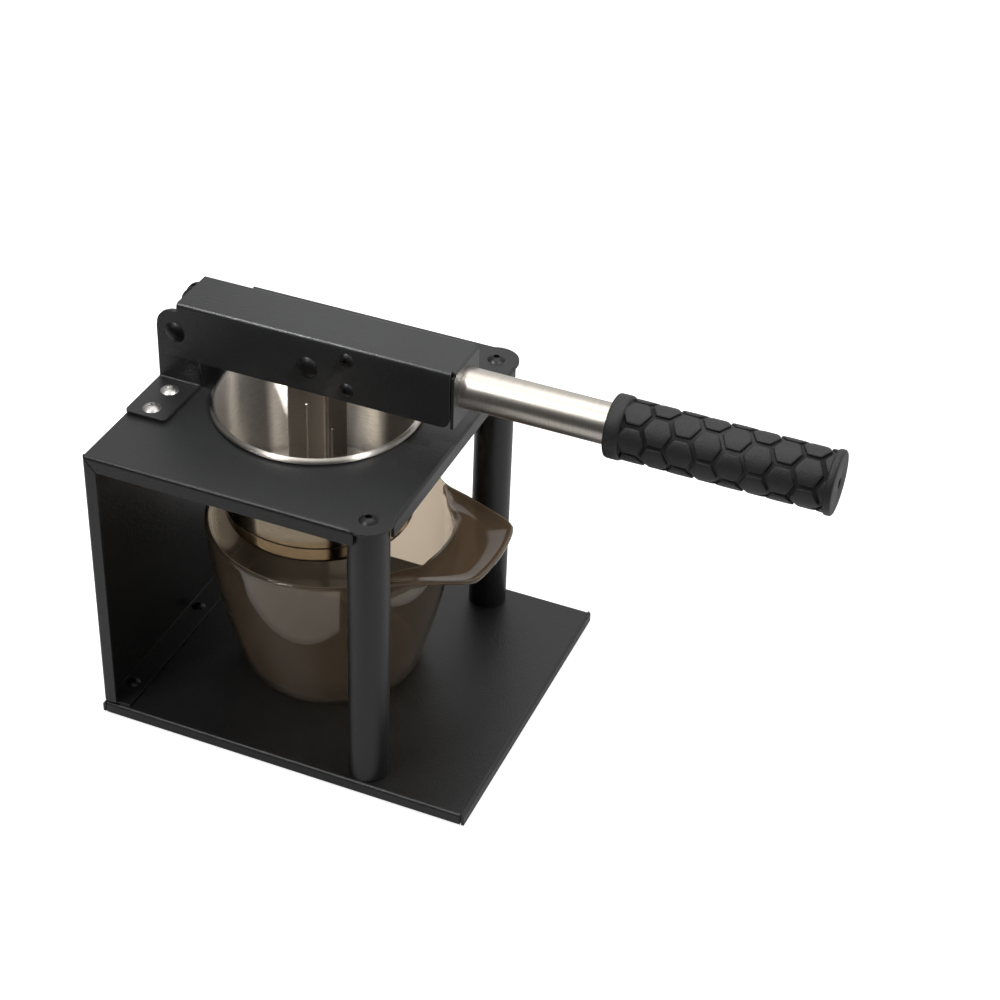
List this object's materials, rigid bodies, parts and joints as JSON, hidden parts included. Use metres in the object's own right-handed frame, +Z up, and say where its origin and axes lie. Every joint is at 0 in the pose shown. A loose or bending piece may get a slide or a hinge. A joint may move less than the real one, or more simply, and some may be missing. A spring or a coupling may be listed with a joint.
{
  "type": "manual citrus press",
  "caption": "Hand lever citrus press: folded steel frame on a tray, pivoted lever with a round grip, press plate on a square stem, hanging strainer cup and a jug with a broad pouring lip.",
  "frame": {"origin": "middle of the tray, on the surface that the rubber feet stand on", "axes": "+X along the lever from the pivot to the grip, +Y to the back, +Z up"},
  "size_m": [0.3392, 0.173, 0.2075],
  "materials": {
    "powder_coat": "fine black powder coat",
    "black_hardware": "black oxide",
    "bright_hardware": "zinc plated",
    "plain_nut": "plain zinc",
    "tube_steel": "satin stainless, brushed round",
    "cup_steel": "bright stainless",
    "press_steel": "satin stainless",
    "block_steel": "black",
    "grip_rubber": "moulded matt rubber",
    "foot_rubber": "matt rubber",
    "jug_plastic": "smoky brown gloss"
  },
  "bodies": {
    "frame": {"base_tray": "powder_coat", "rubber_feet": "foot_rubber", "frame_shell": "powder_coat", "front_post": "powder_coat", "back_post": "powder_coat", "post_top_screws": "black_hardware", "post_bottom_screws": "black_hardware", "flange_screws": "black_hardware", "flange_nuts": "plain_nut", "front_pivot_bracket": "powder_coat", "back_pivot_bracket": "powder_coat", "bracket_screws": "bright_hardware", "bracket_nuts": "plain_nut", "strainer_cup": "cup_steel"},
    "lever": {"lever_channel": "powder_coat", "pivot_pin": "black_hardware", "press_pin": "black_hardware", "handle_block": "block_steel", "block_screws": "black_hardware", "handle_tube": "tube_steel", "handle_grip": "grip_rubber"},
    "press": {"press_stem": "press_steel", "press_plate": "press_steel", "press_screw": "bright_hardware", "press_nut": "plain_nut"},
    "jug": {"juice_jug": "jug_plastic"}
  },
  "joints": [
    {"name": "lever_hinge", "type": "hinge", "parent": "frame", "child": "lever", "pos_m": [-0.0877, 0, 0.1908], "axis": [0, -1, 0], "range_deg": [0, 60]},
    {"name": "press_hinge", "type": "hinge", "parent": "lever", "child": "press", "pos_m": [-0.0164, 0, 0.1908], "axis": [0, -1, 0], "range_deg": [-40.9, 0]},
    {"name": "jug_slide", "type": "slide", "parent": "frame", "child": "jug", "axis": [1, 0, 0], "range_m": [0, 0.19]}
  ],
  "couplings": [
    {"joint": "press_hinge", "follows": "lever_hinge", "ratio": -0.68}
  ]
}
